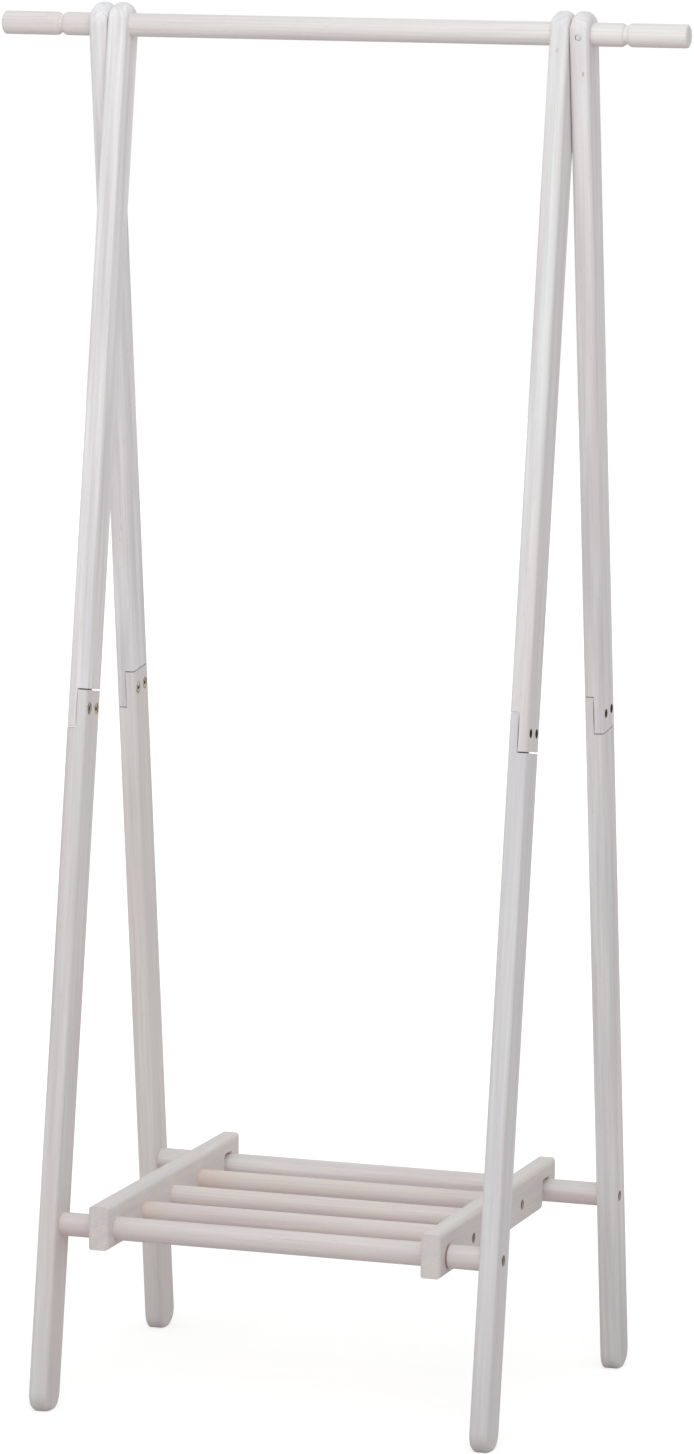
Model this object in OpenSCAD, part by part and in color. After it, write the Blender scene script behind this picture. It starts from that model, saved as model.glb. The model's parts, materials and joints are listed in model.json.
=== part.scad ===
// Folding clothes rack in white-stained wood: two A-frames under one round hanging rail.
// The rear legs hold the rail and the front legs turn on it, so that the rack folds flat.
// A slatted shelf turns on the front rung and hooks over the rear rung, which keeps the rack open.
// Millimetres. X runs along the rail, Y from front to rear, Z up, origin on the floor in the middle.

/* [Overall] */
// Height of the rack to the tops of the legs
rack_h = 1500; // [1200:1:1700]
// Lean of each pair of legs away from upright, in degrees
lean = 8.13; // [6:0.01:11]
// Clear width between the two front legs
bay_w = 474; // [440:1:600]

/* [Legs] */
// Width of a leg, front to rear
leg_w = 44; // [40:1:52]
// Thickness of a leg, along the rail
leg_t = 21; // [20:0.5:24]
// Rounding of a leg's long edges
leg_edge_r = 4.5; // [2:0.5:6]
// Rounding across the thickness at a leg's top
head_end_r = 9.5; // [7:0.5:9.5]
// Rounding across the thickness at a leg's foot
foot_end_r = 7.5; // [6:0.5:9.5]
// Gap between a front leg and the rear leg beside it
leg_gap = 0.5; // [0.3:0.1:3]
// Height of the leg tops over the middle of the rail
head_over = 24; // [22:0.5:30]
// Depth planed off the round foot so that it stands flat
foot_flat = 3; // [1:0.1:4]

/* [Lap joints] */
// Distance from the rail down the leg to the middle of the lap
lap_from_rail = 736; // [600:1:850]
// Length of the lap between its two shoulders
lap_len = 42; // [36:1:60]
// Open joint left above the left front leg's inner tongue and below the right one's outer tongue
open_joint = 1.5; // [0.6:0.1:3]
// Narrow joint left at the front legs' other two tongues
tight_joint = 0.5; // [0.3:0.1:2]
// Joint left at both tongues of a rear leg
rear_joint = 1.3; // [0.3:0.1:3]
// Bevel along the tongues' edges, where the two halves of a leg meet
seam_bevel = 0.5; // [0.2:0.1:1]
// Distance between the two connector bolts, across the leg
bolt_pitch = 21; // [18:0.5:23]
// Diameter of a connector bolt's shank
bolt_d = 6; // [5:0.5:7]
// Length of a connector bolt's shank
bolt_len = 14; // [11:0.5:15]
// Diameter of a connector bolt's flat head
bolt_head_d = 12.8; // [11:0.2:15]
// Thickness of a connector bolt's head
bolt_head_h = 2.2; // [1.6:0.1:3]
// Width across the corners of a bolt's hexagon socket
bolt_socket_d = 4.6; // [3:0.1:4.8]
// Outer diameter of a sleeve nut
nut_d = 9; // [8.5:0.1:10]
// Length of a sleeve nut
nut_len = 6; // [5:0.1:8]

/* [Hanging rail] */
// Diameter of the hanging rail
rail_d = 25; // [22:0.5:30]
// Length of the hanging rail
rail_len = 767; // [740:1:900]
// Rounding of the rail's ends
rail_end_r = 3; // [1:0.5:6]
// Distance from the rail's end to the middle of its hanger groove
groove_from_end = 67; // [40:1:80]
// Width of the groove's narrow neck
groove_w = 3.5; // [2:0.5:8]
// Depth of the groove
groove_depth = 2.7; // [1.5:0.1:4]
// Length of each rounded shoulder beside the neck
groove_shoulder = 4.5; // [4:0.5:8]

/* [Rungs] */
// Diameter of the front and rear rungs
rung_d = 25.5; // [20:0.5:28]
// Distance from the rail down the leg to a rung
rung_from_rail = 1290.5; // [1000:0.5:1320]
// Depth of the socket in the leg that a rung's end sits in
rung_socket = 6; // [3:0.5:8]

/* [Shelf] */
// Width of the shelf over its two side rails
shelf_w = 395; // [300:1:420]
// Thickness of a side rail
side_t = 22.5; // [20:0.5:25]
// Height of a side rail
side_h = 47.5; // [42:0.1:52]
// Depth of a side rail below the middle of the front rung
side_below = 19; // [17:0.1:20]
// Length of a side rail in front of the front rung
side_front = 30; // [24:1:60]
// Rounding of a side rail's two upper edges and of its ends
side_top_r = 5; // [1:0.5:6]
// Rounding of a side rail's two lower edges
side_low_r = 3.5; // [1:0.5:6]
// Rise of the shelf from the front rung to the rear one, in degrees
shelf_tilt = 0.42; // [0:0.02:2]
// Diameter of a shelf dowel
dowel_d = 21.5; // [14:0.5:24]
// Height of the dowels over the shelf's line through the front rung
dowel_rise = 1; // [0:0.5:8]
// Distance from the front rung to the first dowel, and from one dowel to the next
dowel_pitch = 88.5; // [70:0.5:95]
// Depth of the socket in the side rail that a dowel's end sits in
dowel_socket = 7; // [4:0.5:9]

/* [Hook] */
// Distance from the middle of the rear rung to the notch's front wall
hook_front = 23.5; // [22:0.5:26]
// Height of the notch's ceiling over the middle of the rear rung
crown_rise = 16; // [13:0.5:18]
// Rounding between the notch's front wall and its ceiling
crown_r = 5; // [4:0.5:12]
// Rounding of the notch's front lower corner
hook_corner_r = 9; // [5:0.5:12]
// Thickness of the short lip behind the rear rung
lip_t = 15; // [8:0.5:20]

/* [Wood screws] */
// Diameter of a wood screw's shank
screw_d = 4.8; // [4:0.1:5.5]
// Length of a wood screw's shank
screw_len = 40; // [30:1:60]
// Diameter of a wood screw's head
screw_head_d = 9.6; // [8:0.1:10.4]
// Thickness of a wood screw's head
screw_head_h = 2.6; // [2:0.1:3.2]
// Diameter of the recess over a screw's head
recess_d = 11.6; // [11:0.1:13]
// Depth of the recess over a screw's head
recess_depth = 5; // [4:0.1:6]
// Width of the cross slot in a screw's head
cross_w = 1; // [0.6:0.1:1.4]
// Depth of the shallower recess over the lock screw's head in the right rear leg
lock_recess = 3.2; // [3:0.1:5]
// Diameter of the lock screw's head
lock_head_d = 5.6; // [5:0.1:8]
// Diameter of the lock screw's shank
lock_d = 3.5; // [3:0.1:4.5]
// Depth that the lock screw goes into the rail
lock_bite = 9; // [5:0.5:11]

/* [Clearances] */
// Radial clearance where one piece turns on another
turn_clear = 0.08; // [0.05:0.01:0.1]
// Radial clearance where a glued or screwed piece sits in its hole
glue_clear = 0.05; // [0.03:0.01:0.1]
// Clearance between the hook and the rear rung it rests on
seat_clear = 0.3; // [0.2:0.05:0.4]

/* [Hidden] */
$fn = 64;

white_wood = "#efece8";
brass = "#c9a35c";
steel = "#6f6f72";
left = -1;
right = 1;
front = -1;
rear = 1;
cut = 1; // how far a cutting shape runs past the face that it opens
rail_h = rack_h - head_over;
// Middles of the legs' thickness, measured from the rack's middle
front_leg_x = bay_w / 2 + leg_t / 2;
rear_leg_x = front_leg_x + leg_t + leg_gap;
// The nose that rounds a leg's end is a disc wider than the leg and set lower, so that it fades out
nose_spread = 8; // how much the nose disc's radius exceeds the leg's own
nose_skim = 0.3; // how much the nose takes off the very top of the end
nose_side = 0.25; // how far the nose stands clear of each side face
// Centres of a leg's two round ends, measured along the leg from the rail's middle
head_up = (head_over + nose_skim - leg_w / 2) / cos(lean);
foot_down = (rail_h - leg_w / 2 + nose_skim + foot_flat) / cos(lean);
rung_y = rung_from_rail * sin(lean);
rung_z = rail_h - rung_from_rail * cos(lean);
shelf_side_x = shelf_w / 2 - side_t / 2;
// The rear rung's place in the shelf's own frame, which starts at the front rung
hook_y = 2 * rung_y * cos(shelf_tilt);
hook_z = -2 * rung_y * sin(shelf_tilt);
side_len = side_front + hook_y + rung_d / 2 + seat_clear + lip_t;
// The counterbore lets the bolt's head sit just under the leg's face
bolt_sink = 0.3;
bolt_seat_x = -leg_t / 2 + bolt_sink + bolt_head_h;
socket_depth = 3; // depth of the hexagon socket, into the shank
nut_inset = 0.2; // gap between a sleeve nut and the plane where the two tongues meet
cross_depth = 1.4; // depth of the cross slot
tip_len = 5; // length of a wood screw's cone point
head_room = 0.3; // radial room round a bolt's head in its counterbore
lock_room = 0.4; // radial room round the lock screw's head
dowels = 3;

// Rectangle with round corners, centred
module round_rect(w, h, r) {
    square([w - 2 * r, h], center = true);
    square([w, h - 2 * r], center = true);
    for (sx = [-1, 1], sy = [-1, 1])
        translate([sx * (w / 2 - r), sy * (h / 2 - r)]) circle(r);
}

// What a square corner at x, y loses to a rounding of radius r
module corner_cut(x, y, r) {
    difference() {
        translate([x - r, y - r]) square(r + cut);
        translate([x - r, y - r]) circle(r);
    }
}

// Disc about the X axis with a rounded rim
module coin(radius, thick, rim_r) {
    rotate([0, 90, 0]) rotate_extrude() {
        translate([0, -thick / 2]) square([radius - rim_r, thick]);
        translate([0, rim_r - thick / 2]) square([radius, thick - 2 * rim_r]);
        for (s = [-1, 1])
            translate([radius - rim_r, s * (thick / 2 - rim_r)]) circle(rim_r);
    }
}

// Round bar along X from x0 to x1
module bar_x(d, x0, x1) {
    translate([x0, 0, 0]) rotate([0, 90, 0]) cylinder(d = d, h = x1 - x0);
}

// A stick that hangs down from its round end, whose centre is at the origin
module leg_stick(length, end_r) {
    nose_r = leg_w / 2 + nose_spread;
    intersection() {
        union() {
            translate([0, 0, -length]) linear_extrude(length) round_rect(leg_t, leg_w, leg_edge_r);
            coin(leg_w / 2, leg_t, leg_edge_r);
        }
        union() {
            translate([0, 0, -nose_spread - nose_skim]) coin(nose_r, leg_t + 2 * nose_side, end_r);
            translate([-leg_t / 2 - cut, -nose_r, -length - cut])
                cube([leg_t + 2 * cut, 2 * nose_r, length + cut - nose_spread - nose_skim]);
        }
    }
}

// Carries a leg, drawn with its outer face towards +X and the rail at the origin, to its place
module on_leg(side, end) {
    x_mid = end == front ? front_leg_x : rear_leg_x;
    translate([side * x_mid, 0, rail_h]) rotate([end * lean, 0, 0])
        mirror([side == left ? 1 : 0, 0, 0]) children();
}

// Both connector bolt positions of a leg, along X through the lap
module at_bolts() {
    for (s = [-1, 1])
        translate([0, s * bolt_pitch / 2, -lap_from_rail]) children();
}

// Joint left at a tongue's end: on the front legs the tongues of one side have the open one
function joint(side, end, open_side) =
    end == rear ? rear_joint : side == open_side ? open_joint : tight_joint;

// Bevels where the two tongues of a lap meet, on the leg's front and rear faces
module seam_bevels() {
    for (s = [-1, 1])
        translate([0, s * leg_w / 2, -lap_from_rail]) rotate([0, 0, 45])
            cube([seam_bevel * sqrt(2), seam_bevel * sqrt(2), lap_len], center = true);
}

// Upper half of a leg: bored for the rail, with the outer tongue of the lap
module upper_leg(side, end) {
    shoulder_z = -lap_from_rail + lap_len / 2;
    tongue_z = -lap_from_rail - lap_len / 2 + joint(side, end, right);
    bore_d = rail_d + 2 * (end == front ? turn_clear : glue_clear);
    on_leg(side, end) difference() {
        translate([0, 0, head_up]) leg_stick(head_up - tongue_z, head_end_r);
        translate([-leg_t, -leg_w, tongue_z - cut]) cube([leg_t, 2 * leg_w, shoulder_z - tongue_z + cut]);
        bar_x(bore_d, -leg_t, leg_t);
        seam_bevels();
        at_bolts() bar_x(nut_d + 2 * glue_clear, -cut, leg_t);
        if (side == right && end == rear) lock_hole();
    }
}

// Hole in the front face of the right rear leg for the screw that keeps the rail from turning
module lock_hole() {
    translate([0, -leg_w / 2 + lock_recess, 0]) rotate([90, 0, 0])
        cylinder(d = lock_head_d + 2 * lock_room, h = lock_recess + cut);
    rotate([90, 0, 0]) cylinder(d = lock_d + 2 * glue_clear, h = leg_w / 2);
}

// Lower half of a leg: the inner tongue of the lap, the rung's socket and the flat foot
module lower_leg(side, end) {
    shoulder_z = -lap_from_rail - lap_len / 2;
    tongue_z = -lap_from_rail + lap_len / 2 - joint(side, end, left);
    difference() {
        on_leg(side, end) difference() {
            translate([0, 0, -foot_down]) rotate([180, 0, 0]) leg_stick(foot_down + tongue_z, foot_end_r);
            translate([0, -leg_w, shoulder_z]) cube([leg_t, 2 * leg_w, tongue_z - shoulder_z + cut]);
            seam_bevels();
            at_bolts() bar_x(bolt_d + 2 * glue_clear, -leg_t, leg_t);
            at_bolts() bar_x(bolt_head_d + 2 * head_room, -leg_t, bolt_seat_x);
            translate([0, 0, -rung_from_rail]) {
                bar_x(rung_d + 2 * glue_clear, -leg_t, -leg_t / 2 + rung_socket);
                bar_x(screw_d + 2 * glue_clear, -leg_t, leg_t);
                bar_x(recess_d, leg_t / 2 - recess_depth, leg_t);
            }
        }
        translate([-rail_len, -rack_h, -rack_h]) cube([2 * rail_len, 2 * rack_h, rack_h]);
    }
}

// Two flat-headed connector bolts with hexagon sockets, put in from the leg's inner face
module lap_bolts(side, end) {
    on_leg(side, end) at_bolts() difference() {
        union() {
            bar_x(bolt_head_d, bolt_seat_x - bolt_head_h, bolt_seat_x);
            bar_x(bolt_d, bolt_seat_x - bolt_head_h / 2, bolt_seat_x + bolt_len);
        }
        translate([bolt_seat_x - bolt_head_h - cut, 0, 0]) rotate([0, 90, 0])
            cylinder(d = bolt_socket_d, h = socket_depth + cut, $fn = 6);
    }
}

// Two sleeve nuts in the outer tongue, set below the leg's outer face
module sleeve_nuts(side, end) {
    on_leg(side, end) at_bolts() difference() {
        bar_x(nut_d, nut_inset, nut_inset + nut_len);
        bar_x(bolt_d + 2 * glue_clear, nut_inset - cut, nut_inset + nut_len + cut);
    }
}

// Notch that the groove turns into the rail's half section: a neck between two rounded shoulders
module groove_profile() {
    shoulder_r = (pow(groove_shoulder, 2) + pow(groove_depth, 2)) / (2 * groove_depth);
    half_w = groove_w / 2 + groove_shoulder;
    floor_r = rail_d / 2 - groove_depth;
    translate([-groove_w / 2, floor_r]) square([groove_w, groove_depth + cut]);
    for (m = [0, 1])
        mirror([m, 0]) difference() {
            translate([0, floor_r]) square([half_w, groove_depth + cut]);
            translate([half_w, rail_d / 2 - shoulder_r]) circle(shoulder_r);
        }
}

// The rail turned on a lathe: round ends and a hanger groove near each end
module hanging_rail() {
    color(white_wood) difference() {
        translate([0, 0, rail_h]) rotate([0, 90, 0]) rotate_extrude() rotate(90) difference() {
            translate([-rail_len / 2, -rail_d / 2]) square([rail_len, rail_d]);
            translate([-rail_len, -rail_d]) square([2 * rail_len, rail_d]);
            for (s = [-1, 1]) {
                translate([s * (rail_len / 2 - groove_from_end), 0]) groove_profile();
                mirror([s < 0 ? 1 : 0, 0]) corner_cut(rail_len / 2, rail_d / 2, rail_end_r);
            }
        }
        on_leg(right, rear) translate([0, -rail_d / 2 + lock_bite, 0]) rotate([90, 0, 0])
            cylinder(d = lock_d + 2 * glue_clear, h = rail_d);
    }
}

// Rung between a pair of legs, drilled at both ends for its screws
module rung(end) {
    leg_x = end == front ? front_leg_x : rear_leg_x;
    half = leg_x - leg_t / 2 + rung_socket - glue_clear;
    hole = screw_reach(leg_x);
    color(white_wood) translate([0, end * rung_y, rung_z]) difference() {
        bar_x(rung_d, -half, half);
        for (s = [-1, 1])
            mirror([s < 0 ? 1 : 0, 0, 0]) bar_x(screw_d + 2 * glue_clear, hole - cut, half + cut);
    }
}

// Where the point of a leg's wood screw ends, measured from the rack's middle
function screw_reach(leg_x) = leg_x + leg_t / 2 - recess_depth - screw_len;

// Cross-slotted wood screw along X, its head seated at the origin and its point towards -X
module wood_screw() {
    difference() {
        union() {
            bar_x(screw_head_d, 0, screw_head_h);
            bar_x(screw_d, tip_len - screw_len, screw_head_h / 2);
            translate([-screw_len, 0, 0]) rotate([0, 90, 0])
                cylinder(d1 = screw_d / 3, d2 = screw_d, h = tip_len);
        }
        for (a = [0, 90])
            rotate([a, 0, 0]) translate([screw_head_h - cross_depth, -screw_head_d / 4, -cross_w / 2])
                cube([cross_depth + cut, screw_head_d / 2, cross_w]);
    }
}

// The two screws that hold a rung between its legs
module rung_screws(end) {
    leg_x = end == front ? front_leg_x : rear_leg_x;
    color(steel) for (s = [-1, 1])
        mirror([s < 0 ? 1 : 0, 0, 0])
            translate([leg_x + leg_t / 2 - recess_depth, end * rung_y, rung_z]) wood_screw();
}

// Carries what is drawn in the shelf's own frame, with the front rung at the origin, to its place
module on_shelf() {
    translate([0, -rung_y, rung_z]) rotate([shelf_tilt, 0, 0]) children();
}

// Side rail outline, first axis to the rear: a hook at the rear end drops over the rear rung
module side_outline() {
    difference() {
        translate([-side_front, -side_below]) square([side_len, side_h]);
        translate([hook_y, hook_z]) {
            difference() {
                translate([-hook_front, -side_h]) square([hook_front, side_h + crown_rise]);
                mirror([1, 0]) corner_cut(hook_front, crown_rise, crown_r);
            }
            circle(rung_d / 2 + seat_clear);
            translate([0, -side_h]) square([side_len, side_h]);
        }
        translate([hook_y - hook_front, -side_below])
            mirror([0, 1]) corner_cut(0, 0, hook_corner_r);
    }
}

// Section of a side rail, rounder at its upper edges than at its lower ones
module side_section() {
    difference() {
        square([side_t, side_h], center = true);
        for (m = [0, 1])
            mirror([m, 0]) {
                corner_cut(side_t / 2, side_h / 2, side_top_r);
                mirror([0, 1]) corner_cut(side_t / 2, side_h / 2, side_low_r);
            }
    }
}

// Side rail of the shelf, with all its outer edges rounded
module side_rail(side) {
    mid_y = side_len / 2 - side_front;
    mid_z = side_h / 2 - side_below;
    color(white_wood) on_shelf() translate([side * shelf_side_x, 0, 0]) mirror([side == left ? 1 : 0, 0, 0])
        difference() {
            intersection() {
                translate([-side_t / 2, 0, 0]) rotate([90, 0, 90]) linear_extrude(side_t) side_outline();
                translate([0, side_len, mid_z]) rotate([90, 0, 0])
                    linear_extrude(2 * side_len) side_section();
                translate([0, mid_y, -side_h])
                    linear_extrude(2 * side_h) round_rect(side_t, side_len, side_top_r);
            }
            bar_x(rung_d + 2 * turn_clear, -side_t, side_t);
            for (n = [1 : dowels])
                translate([0, n * dowel_pitch, dowel_rise]) {
                    bar_x(dowel_d + 2 * glue_clear, -side_t, -side_t / 2 + dowel_socket);
                    bar_x(screw_d + 2 * glue_clear, -side_t, side_t);
                    bar_x(recess_d, side_t / 2 - recess_depth, side_t);
                }
        }
}

// One of the three shelf dowels, drilled at both ends for its screws
module shelf_dowel(n) {
    half = shelf_side_x - side_t / 2 + dowel_socket - glue_clear;
    hole = shelf_side_x + side_t / 2 - recess_depth - screw_len;
    color(white_wood) on_shelf() translate([0, n * dowel_pitch, dowel_rise]) difference() {
        bar_x(dowel_d, -half, half);
        for (s = [-1, 1])
            mirror([s < 0 ? 1 : 0, 0, 0]) bar_x(screw_d + 2 * glue_clear, hole - cut, half + cut);
    }
}

// The three screws in one side rail, one into each dowel's end
module side_screws(side) {
    seat_x = shelf_side_x + side_t / 2 - recess_depth;
    color(steel) on_shelf() mirror([side == left ? 1 : 0, 0, 0])
        for (n = [1 : dowels])
            translate([seat_x, n * dowel_pitch, dowel_rise]) wood_screw();
}

// Small screw through the right rear leg's front face into the rail
module rail_lock_screw() {
    head_y = -leg_w / 2 + lock_recess;
    color(steel) on_leg(right, rear) {
        translate([0, head_y, 0]) rotate([90, 0, 0]) cylinder(d = lock_head_d, h = screw_head_h);
        translate([0, -rail_d / 2 + lock_bite - glue_clear, 0]) rotate([90, 0, 0])
            cylinder(d = lock_d, h = lock_bite - glue_clear - rail_d / 2 - head_y);
    }
}

color(white_wood) upper_leg(left, front);  // front_left_upper_leg
color(white_wood) lower_leg(left, front);  // front_left_lower_leg
color(white_wood) upper_leg(right, front);  // front_right_upper_leg
color(white_wood) lower_leg(right, front);  // front_right_lower_leg
color(white_wood) upper_leg(left, rear);  // rear_left_upper_leg
color(white_wood) lower_leg(left, rear);  // rear_left_lower_leg
color(white_wood) upper_leg(right, rear);  // rear_right_upper_leg
color(white_wood) lower_leg(right, rear);  // rear_right_lower_leg
hanging_rail();
rung(front);  // front_rung
rung(rear);  // rear_rung
side_rail(left);  // shelf_left_rail
side_rail(right);  // shelf_right_rail
shelf_dowel(1);  // shelf_front_dowel
shelf_dowel(2);  // shelf_middle_dowel
shelf_dowel(3);  // shelf_rear_dowel
color(brass) lap_bolts(left, front);  // front_left_lap_bolts
color(brass) lap_bolts(right, front);  // front_right_lap_bolts
color(brass) lap_bolts(left, rear);  // rear_left_lap_bolts
color(brass) lap_bolts(right, rear);  // rear_right_lap_bolts
color(steel) sleeve_nuts(left, front);  // front_left_sleeve_nuts
color(steel) sleeve_nuts(right, front);  // front_right_sleeve_nuts
color(steel) sleeve_nuts(left, rear);  // rear_left_sleeve_nuts
color(steel) sleeve_nuts(right, rear);  // rear_right_sleeve_nuts
rung_screws(front);  // front_rung_screws
rung_screws(rear);  // rear_rung_screws
side_screws(left);  // shelf_left_screws
side_screws(right);  // shelf_right_screws
rail_lock_screw();
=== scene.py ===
"""Folding clothes rack in white-stained wood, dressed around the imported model."""

import json
import math

import bpy
from mathutils import Euler, Matrix, Vector

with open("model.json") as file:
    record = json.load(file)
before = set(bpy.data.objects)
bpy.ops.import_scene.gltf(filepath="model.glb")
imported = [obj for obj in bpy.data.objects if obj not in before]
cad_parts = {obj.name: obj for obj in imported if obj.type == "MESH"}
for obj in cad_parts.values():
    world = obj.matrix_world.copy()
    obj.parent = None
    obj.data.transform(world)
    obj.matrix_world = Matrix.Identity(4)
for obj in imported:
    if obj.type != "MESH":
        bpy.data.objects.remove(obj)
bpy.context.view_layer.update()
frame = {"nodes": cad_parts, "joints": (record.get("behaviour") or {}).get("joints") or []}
nodes = frame["nodes"]
bpy.ops.object.select_all(action="DESELECT")

# The camera stands in front of the rack, to its right and a little above the middle,
# far away behind a long lens. It is rolled by a hair, as the picture it follows is.
camera_azimuth = math.radians(18.46)
camera_elevation = math.radians(7.67)
camera_roll = math.radians(0.73)
camera_distance = 6.8456
camera_target = Vector((0.01636, 0.0, 0.72839))
camera_lens = 157.24
back = Vector(
    (
        math.sin(camera_azimuth) * math.cos(camera_elevation),
        -math.cos(camera_azimuth) * math.cos(camera_elevation),
        math.sin(camera_elevation),
    )
)
bpy.ops.object.camera_add(location=camera_target + back * camera_distance)
camera = bpy.context.object
camera.rotation_mode = "QUATERNION"
aim = (-back).to_track_quat("-Z", "Y")
camera.rotation_quaternion = aim @ Matrix.Rotation(camera_roll, 3, "Z").to_quaternion()
camera.data.sensor_width = 36
camera.data.lens = camera_lens
camera.data.clip_end = 60
bpy.context.scene.camera = camera


# The floor is a wide sheet of white seamless paper, matt and even. It takes the soft
# shadow of the feet, and farther out the camera sees it as bright as the white room.
def linear(code):
    """An sRGB hex colour as linear red, green, blue and alpha."""
    parts = [int(code[i : i + 2], 16) / 255 for i in (1, 3, 5)]
    low = [c / 12.92 for c in parts]
    high = [((c + 0.055) / 1.055) ** 2.4 for c in parts]
    return [b if c > 0.04045 else a for a, b, c in zip(low, high, parts)] + [1]


def add_node(tree, kind, settings=None, inputs=None):
    """Adds a node, sets its properties, and gives each input a value or a link."""
    made = tree.nodes.new(kind)
    for name, value in (settings or {}).items():
        setattr(made, name, value)
    for name, value in (inputs or {}).items():
        if isinstance(value, bpy.types.NodeSocket):
            tree.links.new(value, made.inputs[name])
        else:
            made.inputs[name].default_value = value
    return made


def new_material(name):
    """An empty node material and its output node."""
    material = bpy.data.materials.new(name)
    material.use_nodes = True
    material.node_tree.nodes.clear()
    return material, add_node(material.node_tree, "ShaderNodeOutputMaterial")


def seen_directly(tree):
    """One for rays from the camera, off gloss or through glass, and else nought."""
    path = add_node(tree, "ShaderNodeLightPath")
    shown = path.outputs["Is Camera Ray"]
    for ray in ("Is Glossy Ray", "Is Transmission Ray"):
        wider = add_node(
            tree,
            "ShaderNodeMath",
            {"operation": "MAXIMUM"},
            {0: shown, 1: path.outputs[ray]},
        )
        shown = wider.outputs[0]
    return shown


paper, paper_out = new_material("seamless_paper")
tree = paper.node_tree
place = add_node(tree, "ShaderNodeTexCoord")
from_rack = add_node(
    tree,
    "ShaderNodeVectorMath",
    {"operation": "LENGTH"},
    {"Vector": place.outputs["Object"]},
)
# The paper's glow grows over these distances from the rack's middle, in metres
glow_starts, glow_ends = 0.35, 1.6
glow_near, glow_far = 0.59, 0.76
lift = add_node(
    tree,
    "ShaderNodeMapRange",
    None,
    {
        "Value": from_rack.outputs["Value"],
        "From Min": glow_starts,
        "From Max": glow_ends,
        "To Min": glow_near,
        "To Max": glow_far,
    },
)
seen = add_node(
    tree,
    "ShaderNodeMath",
    {"operation": "MULTIPLY"},
    {0: seen_directly(tree), 1: lift.outputs[0]},
)
matt = add_node(tree, "ShaderNodeBsdfDiffuse", None, {"Color": linear("#d1c6c4")})
glow = add_node(
    tree,
    "ShaderNodeEmission",
    None,
    {"Strength": seen.outputs[0], "Color": linear("#f7ffff")},
)
both = add_node(
    tree, "ShaderNodeAddShader", None, {0: matt.outputs[0], 1: glow.outputs[0]}
)
tree.links.new(both.outputs[0], paper_out.inputs["Surface"])
floor_size = 24
bpy.ops.mesh.primitive_plane_add(size=floor_size, location=(0, 0, 0))
floor = bpy.context.object
floor.name = "paper_floor"
floor.data.materials.append(paper)

# The studio is a white room with one broad soft box high in front, to the right. The
# room gives most of the light, so the shadows stay pale, and its light is a hair cool.
room_light = 0.705
cool_white = linear("#fafdff")
world = bpy.data.worlds.new("white_room")
world.use_nodes = True
bpy.context.scene.world = world
tree = world.node_tree
tree.nodes.clear()
shown_white = seen_directly(tree)
strength = add_node(
    tree, "ShaderNodeMapRange", None, {"Value": shown_white, "To Min": room_light}
)
# A Mix node of colours has the two at inputs 6 and 7, and their mix at output 2
under, over, mixed = 6, 7, 2
tone = add_node(
    tree,
    "ShaderNodeMix",
    {"data_type": "RGBA"},
    {"Factor": shown_white, under: cool_white, over: linear("#ffffff")},
)
room = add_node(
    tree,
    "ShaderNodeBackground",
    None,
    {"Color": tone.outputs[mixed], "Strength": strength.outputs[0]},
)
add_node(tree, "ShaderNodeOutputWorld", None, {"Surface": room.outputs[0]})

soft_box_place = Vector((0.4, -1.8, 2.2))
soft_box_side = 1.8
soft_box_power = 20
bpy.ops.object.light_add(type="AREA", location=soft_box_place)
soft_box = bpy.context.object
soft_box.name = "soft_box"
towards_rack = (camera_target - soft_box_place).to_track_quat("-Z", "Y")
soft_box.rotation_euler = towards_rack.to_euler()
soft_box.data.size = soft_box_side
soft_box.data.energy = soft_box_power
soft_box.data.color = cool_white[:3]

bpy.context.scene.view_settings.view_transform = "Standard"


# The four legs are planed battens of pale close-grained wood, each in two halves that
# lap at mid height. They are stained a thin white, so that the grain shows through in
# pale pink and grey streaks, under a matt lacquer that leaves the pores open.
pivot = Vector(frame["joints"][1]["pos_m"])
rail_height = frame["joints"][0]["pos_m"][2]
lean = math.atan2(-pivot.y, rail_height - pivot.z)
# The ends and sides of the rack, by their signs along y and x
front, rear = -1, 1
left, right = -1, 1


def on_leg(end, behind, below):
    """A point of a pair of legs, this far behind and below the rail along the leg."""
    angle = end * lean
    return Vector(
        (
            0,
            behind * math.cos(angle) + below * math.sin(angle),
            rail_height + behind * math.sin(angle) - below * math.cos(angle),
        )
    )


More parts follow.
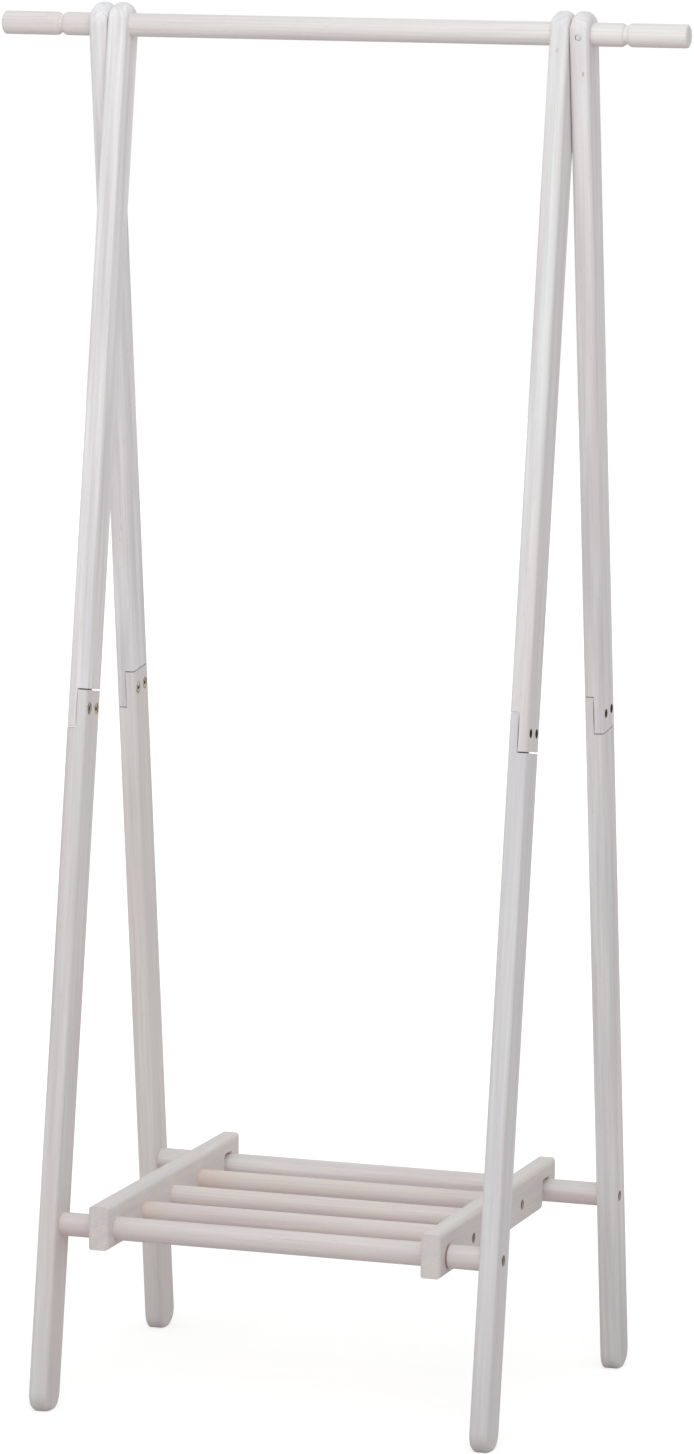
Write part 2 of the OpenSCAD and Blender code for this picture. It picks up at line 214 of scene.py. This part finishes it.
def stained_wood(piece, turn, shift, stain_and_light, pink, grey, marks):
    """White-stained wood with its grain along one direction, and its own cut of a log.

    Pink and grey are the shares of its streaks. A mark is a spot on the piece and its
    reach across and along the grain, in metres, the part of that reach that it fills
    evenly, and its colour. One with its spot off the piece tints only what is near."""
    material, out = new_material("white_stained_wood_of_" + piece)
    tree = material.node_tree
    place = add_node(tree, "ShaderNodeTexCoord")
    log = add_node(
        tree,
        "ShaderNodeMapping",
        None,
        {"Vector": place.outputs["Object"], "Rotation": turn, "Location": shift},
    )
    # Each pattern's width and length in millimetres, its detail and its roughness. The
    # fibres and the open pores are under half a millimetre wide in the real wood, and
    # are drawn wider so that they show.
    patterns = {}
    for pattern, across_mm, along_mm, detail, rough in (
        ("pink streaks", 13, 330, 2, 0.5),
        ("grey streaks", 10, 240, 2, 0.5),
        ("fibres", 1.8, 110, 3, 0.6),
        ("pores", 0.9, 11, 1, 0.5),
    ):
        stretched = add_node(
            tree,
            "ShaderNodeMapping",
            None,
            {
                "Vector": log.outputs[0],
                "Scale": (1000 / across_mm, 1000 / across_mm, 1000 / along_mm),
            },
        )
        noise = add_node(
            tree,
            "ShaderNodeTexNoise",
            None,
            {
                "Vector": stretched.outputs[0],
                "Scale": 1,
                "Detail": detail,
                "Roughness": rough,
            },
        )
        patterns[pattern] = noise.outputs["Fac"]
    # Growth rings about a pith well outside the piece, four millimetres apart. At a
    # scale of 1 the rings of a Wave node are pi / 10 apart.
    ring_gap = 0.004
    rings = add_node(
        tree,
        "ShaderNodeTexWave",
        {"wave_type": "RINGS", "rings_direction": "Z"},
        {
            "Vector": log.outputs[0],
            "Scale": math.pi / 10 / ring_gap,
            "Distortion": 6,
            "Detail": 2,
            "Detail Scale": 0.06,
        },
    )
    patterns["rings"] = rings.outputs["Fac"]
    # The values between which each pattern fades in, its share when full, and its tone
    pore_edge, pore_middle = 0.69, 0.76
    layers = []
    for pattern, begins, full, share, tone in (
        ("pink streaks", 0.38, 0.68, pink, "#ded2d1"),
        ("grey streaks", 0.42, 0.7, grey, "#cfd1d6"),
        ("rings", 0.2, 1, 0.14, "#cdbfbc"),
        ("fibres", 0.46, 0.75, 0.3, "#c8bbb8"),
        ("pores", pore_edge, pore_middle, 0.26, "#b09f99"),
    ):
        cover = add_node(
            tree,
            "ShaderNodeMapRange",
            None,
            {
                "Value": patterns[pattern],
                "From Min": begins,
                "From Max": full,
                "To Max": share,
            },
        )
        layers.append((cover.outputs[0], tone))
    for spot, reach, core, tone in marks:
        middle = Euler(turn).to_matrix() @ Vector(spot) + Vector(shift)
        centred = add_node(
            tree,
            "ShaderNodeMapping",
            None,
            {
                "Vector": log.outputs[0],
                "Location": [-centre / half for centre, half in zip(middle, reach)],
                "Scale": [1 / half for half in reach],
            },
        )
        away = add_node(
            tree,
            "ShaderNodeVectorMath",
            {"operation": "LENGTH"},
            {"Vector": centred.outputs[0]},
        )
        cover = add_node(
            tree,
            "ShaderNodeMapRange",
            None,
            {
                "Value": away.outputs["Value"],
                "From Min": core,
                "To Min": 1,
                "To Max": 0,
            },
        )
        layers.append((cover.outputs[0], tone))
    # The stain is set piece by piece, so besides the wood's own tone it holds painted
    # light and shade
    colour = linear(stain_and_light)
    for cover, tone in layers:
        layer = add_node(
            tree,
            "ShaderNodeMix",
            {"data_type": "RGBA"},
            {"Factor": cover, under: colour, over: linear(tone)},
        )
        colour = layer.outputs[mixed]
    # The lacquer is thin, so the fibres stand a little proud and the pores stay open
    relief_height = 0.0003
    open_pores = add_node(
        tree,
        "ShaderNodeMapRange",
        None,
        {
            "Value": patterns["pores"],
            "From Min": pore_edge,
            "From Max": pore_middle,
        },
    )
    relief = add_node(
        tree,
        "ShaderNodeMath",
        {"operation": "SUBTRACT"},
        {0: patterns["fibres"], 1: open_pores.outputs[0]},
    )
    bump = add_node(
        tree,
        "ShaderNodeBump",
        None,
        {"Height": relief.outputs[0], "Strength": 0.25, "Distance": relief_height},
    )
    # It is matt, and a little duller on the raised fibres. Their noise runs from about
    # 0.3 to 0.7.
    smoothest, roughest = 0.56, 0.68
    roughness = add_node(
        tree,
        "ShaderNodeMapRange",
        None,
        {
            "Value": patterns["fibres"],
            "From Min": 0.3,
            "From Max": 0.7,
            "To Min": smoothest,
            "To Max": roughest,
        },
    )
    lacquer = add_node(
        tree,
        "ShaderNodeBsdfPrincipled",
        None,
        {
            "Base Color": colour,
            "Roughness": roughness.outputs[0],
            "Normal": bump.outputs[0],
            "IOR": 1.5,
        },
    )
    tree.links.new(lacquer.outputs[0], out.inputs["Surface"])
    return material


def dress(node_name, material):
    """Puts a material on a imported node."""
    slots = nodes[node_name].data.materials
    slots.clear()
    slots.append(material)


# A reach in metres far past any piece, for a mark with no end in that direction
everywhere = 100


def shaded_hole_wall(centre, radius, hole_shade):
    """The wall of a hole in a leg or side rail, painted brown as the shade that falls in
    the hole.
    """
    hole_shade_depth = 0.0006
    reach = radius + hole_shade_depth
    return centre, (everywhere, reach, reach), 0.92, hole_shade


# The lap's middle lies this far below the rail, with a hole for a bolt on either side, and
# the rung's screw sits in a recess farther down. The walls of these holes are painted
# darker as shade, those of the nut holes nearly black.
lap_below_rail = 0.736
half_bolt_pitch = 0.0105
nut_hole_radius = 0.0046
lap_holes = {}
for end in (front, rear):
    lap_holes[end] = []
    for behind in (-half_bolt_pitch, half_bolt_pitch):
        bolt_axis = on_leg(end, behind, lap_below_rail)
        lap_holes[end].append(shaded_hole_wall(bolt_axis, nut_hole_radius, "#5a4b42"))
rung_below_rail = 1.2905
recess_radius = 0.0058
rung_hole = {}
for end, hole_shade in ((front, "#b5a79d"), (rear, "#c4b9b1")):
    rung_axis = on_leg(end, 0, rung_below_rail)
    rung_hole[end] = [shaded_hole_wall(rung_axis, recess_radius, hole_shade)]

# The groove where two tongues meet is darker, partly from the dust and stain it keeps and
# partly as painted shade in the groove, more so on the right
leg_middle_x = {front: 0.2475, rear: 0.269}
half_leg_width = 0.022
groove_reach = (0.0007, 0.01, 0.023)
lap_seams = {}
for end in (front, rear):
    for side, dust_and_shade in ((left, "#c3bbbb"), (right, "#9a8f91")):
        lap_seams[side, end] = []
        for face in (-half_leg_width, half_leg_width):
            groove = on_leg(end, face, lap_below_rail)
            groove.x = side * leg_middle_x[end]
            lap_seams[side, end].append((groove, groove_reach, 0.7, dust_and_shade))
# Painted shade darkens the tight end of each front lap, where the tongue to the left ends:
# low down on the left leg and high up on the right one
half_lap = 0.021
tongue_offset = 0.005
joint_shade_reach = (0.0065, 0.006, 0.0014)
for side in (left, right):
    joint = on_leg(front, -half_leg_width, lap_below_rail - side * half_lap)
    joint.x = side * leg_middle_x[front] - tongue_offset
    lap_seams[side, front].append((joint, joint_shade_reach, 0.6, "#bdb5b5"))

# Two pin knots, where a small twig grew, show on the right legs' front faces
knot_reach = (0.0016, 0.004, 0.0035)
front_knot = ((0.2469, -0.0246, 1.4597), knot_reach, 0.3, "#cbc3c1")
rear_knot = ((0.2733, -0.0164, 1.435), knot_reach, 0.3, "#bdb5b4")
# Painted shade darkens one side of the lock screw's recess in the right rear leg
rim_shade_spot = on_leg(rear, -0.0205, 0)
rim_shade_spot.x = leg_middle_x[rear] - 0.0029
painted_rim_shade = (rim_shade_spot, (0.0011, 0.004, 0.0036), 0.4, "#8f8988")
# A darker streak runs down that leg's outer arris to the lap, fainter farther in
streak = on_leg(rear, -0.029, 0.66)
streak.x = leg_middle_x[rear] + 0.0175
arris_streak = (streak, (0.018, 0.018, 0.08), 0, "#c8bdbc")
# The front of the left rear leg is whiter just below its lap
white_patch = on_leg(rear, -0.042, 0.77)
white_patch.x = -leg_middle_x[rear] - 0.002
whiter_front_patch = (white_patch, (0.03, 0.03, 0.13), 0, "#ffffff")
# Painted shade darkens the feet towards the floor, from nothing 0.2 m up to a third at
# their ends, most on the right rear leg
below_feet = 1.9
foot_shade_reach = 0.6
shaded_foot = {}
for side, end, grey in (
    (left, front, "#d0cfce"),
    (right, front, "#c0c1c0"),
    (left, rear, "#c6c4c1"),
    (right, rear, "#9b9c9b"),
):
    spot = on_leg(end, 0, below_feet)
    shaded_foot[side, end] = [(spot, (everywhere, everywhere, foot_shade_reach), 0, grey)]

# Each leg's place in the log, its stain, its shares of pink and grey, and its own marks.
# The stains hold painted light besides the wood's own tone: each upper half is whiter than
# its lower half, and the left upper legs are whitest.
legs = [
    ("front_left_upper_leg", (0.11, 0.06, 0.0), "#f7f7f6", 0.5, 0.5, []),
    ("front_left_lower_leg", (0.31, -0.08, 0.7), "#e5e6e4", 0.95, 0.3, []),
    ("front_right_upper_leg", (-0.19, 0.09, 1.1), "#ebecea", 0.7, 0.4, [front_knot]),
    ("front_right_lower_leg", (-0.52, -0.07, 2.3), "#e5e6e6", 0.5, 0.5, []),
    ("rear_left_upper_leg", (0.17, 0.08, 3.1), "#f7f7f7", 0.4, 0.6, []),
    ("rear_left_lower_leg", (0.36, -0.06, 4.2), "#ece9e5", 0.5, 0.4, [whiter_front_patch]),
    (
        "rear_right_upper_leg",
        (-0.21, 0.07, 5.3),
        "#f1f0ef",
        0.5,
        0.6,
        [rear_knot, painted_rim_shade, arris_streak],
    ),
    ("rear_right_lower_leg", (-0.47, 0.1, 6.1), "#edefed", 0.6, 0.6, []),
]
for leg_name, shift, stain_and_light, pink, grey, own_marks in legs:
    side = left if "left" in leg_name else right
    end = front if "front" in leg_name else rear
    if "upper" in leg_name:
        holes, foot_shade = lap_holes[end], []
    else:
        holes, foot_shade = rung_hole[end], shaded_foot[side, end]
    marks = holes + own_marks + lap_seams[side, end] + foot_shade
    leg_turn = (-end * lean, 0, 0)
    wood = stained_wood(leg_name, leg_turn, shift, stain_and_light, pink, grey, marks)
    dress(leg_name, wood)

# The hanging rail and the two rungs are turned dowels of the same wood and stain, with the
# grain along them. A thin brown ring of painted shade lies on the front rung where the
# shelf's right rail meets it.
cross_turn = (0, -math.pi / 2, 0)
contact_shade_ring = ((0.1985, 0, 0), (everywhere, everywhere, 0.0013), 0.5, "#978178")
dowels = [
    ("hanging_rail", (0.05, 0.06, 0.4), "#ebe8e5", 0.4, 0.2, []),
    ("front_rung", (0.14, -0.05, 1.6), "#e4ddd9", 1.0, 0.2, [contact_shade_ring]),
    ("rear_rung", (0.09, 0.07, 2.5), "#eeeae7", 1.0, 0.2, []),
]
for dowel_name, shift, stain_and_light, pink, grey, marks in dowels:
    wood = stained_wood(dowel_name, cross_turn, shift, stain_and_light, pink, grey, marks)
    dress(dowel_name, wood)

# The shelf has two straight side rails, sawn flat with eased edges, whose grain runs
# from front to rear, and three thin dowels glued and screwed between them.
side_turn = (math.pi / 2, 0, 0)
# The dowels lie at even steps behind the front rung and a little above its axis, and
# the shelf slopes up very slightly towards the rear
dowel_pitch = 0.0885
dowel_rise = 0.001
shelf_tilt = math.radians(0.42)
backwards = Vector((0, math.cos(shelf_tilt), math.sin(shelf_tilt)))
upwards = Vector((0, -math.sin(shelf_tilt), math.cos(shelf_tilt)))
# The walls of the screws' recesses in the side rails are painted a little darker as shade
screw_holes = []
for number in (1, 2, 3):
    screw_axis = pivot + number * dowel_pitch * backwards + dowel_rise * upwards
    screw_holes.append(shaded_hole_wall(screw_axis, recess_radius, "#c9beb6"))
side_rails = [
    ("shelf_left_rail", (0.23, 0.05, 0.9), "#e4ded8", 0.45, 0.6),
    ("shelf_right_rail", (-0.14, 0.08, 3.4), "#e2ddd8", 0.3, 0.4),
]
for rail_name, shift, stain_and_light, pink, grey in side_rails:
    wood = stained_wood(rail_name, side_turn, shift, stain_and_light, pink, grey, screw_holes)
    dress(rail_name, wood)

# The left ends of two of the dowels are tan
past_left_end = (-0.195, 0, 0)
front_tan_end = (past_left_end, (everywhere, everywhere, 0.05), 0, "#dfccbe")
rear_tan_end = (past_left_end, (everywhere, everywhere, 0.07), 0, "#dfccbe")
slats = [
    ("shelf_front_dowel", (0.08, -0.09, 5.2), "#ede2d9", [front_tan_end]),
    ("shelf_middle_dowel", (0.12, 0.05, 6.7), "#e9dfd9", []),
    ("shelf_rear_dowel", (0.06, 0.08, 7.9), "#e4d9d1", [rear_tan_end]),
]
for slat_name, shift, stain_and_light, marks in slats:
    wood = stained_wood(slat_name, cross_turn, shift, stain_and_light, 1.0, 0.1, marks)
    dress(slat_name, wood)


# Each lap is drawn together by two steel connector bolts with wide flat heads and hex
# sockets. They are brass plated, and the plate has darkened in patches to a brown cast.
def plated_steel(name, base, cast, roughness):
    """Plated steel that clouds over into a darker cast, in patches of a few mm."""
    material, out = new_material(name)
    tree = material.node_tree
    place = add_node(tree, "ShaderNodeTexCoord")
    patch = 0.0045
    cloud = add_node(
        tree,
        "ShaderNodeTexNoise",
        None,
        {"Vector": place.outputs["Object"], "Scale": 1 / patch, "Detail": 2},
    )
    # The plate is clear up to the first value of the cloud, and cast from the second on
    clear, clouded = 0.36, 0.6
    spread = add_node(
        tree,
        "ShaderNodeMapRange",
        None,
        {"Value": cloud.outputs["Fac"], "From Min": clear, "From Max": clouded},
    )
    tint = add_node(
        tree,
        "ShaderNodeMix",
        {"data_type": "RGBA"},
        {"Factor": spread.outputs[0], under: linear(base), over: linear(cast)},
    )
    unevenness = 0.08
    dull = add_node(
        tree,
        "ShaderNodeMapRange",
        None,
        {
            "Value": cloud.outputs["Fac"],
            "To Min": roughness - unevenness,
            "To Max": roughness + unevenness,
        },
    )
    metal = add_node(
        tree,
        "ShaderNodeBsdfPrincipled",
        None,
        {
            "Base Color": tint.outputs[mixed],
            "Roughness": dull.outputs[0],
            "Metallic": 1,
        },
    )
    tree.links.new(metal.outputs[0], out.inputs["Surface"])
    return material


corners = ("front_left", "front_right", "rear_left", "rear_right")
darkened_brass = plated_steel("darkened_brass_plate", "#ad9a7c", "#3d352a", 0.26)
for corner in corners:
    dress(corner + "_lap_bolts", darkened_brass)

# The steel sleeve nuts sit deep in the outer tongues, and their zinc plate is painted
# nearly black as the shade there. The steel wood screws at the ends of the rungs and
# dowels sit in recesses, and their dull zinc plate is a flat grey.
shaded_zinc = plated_steel("zinc_plate_painted_with_shade", "#4a4744", "#37332f", 0.45)
for corner in corners:
    dress(corner + "_sleeve_nuts", shaded_zinc)
dull_zinc = plated_steel("dull_zinc_plate", "#a3a3a5", "#83817e", 0.42)
for holder in ("front_rung", "rear_rung", "shelf_left", "shelf_right"):
    dress(holder + "_screws", dull_zinc)

# One short steel screw goes through the right rear leg's front face and keeps the rail
# from turning. Its small head lies just under the face, pale with bright zinc plate.
bright_zinc = plated_steel("bright_zinc_plate", "#d6d6d8", "#bcbbbc", 0.4)
dress("rail_lock_screw", bright_zinc)
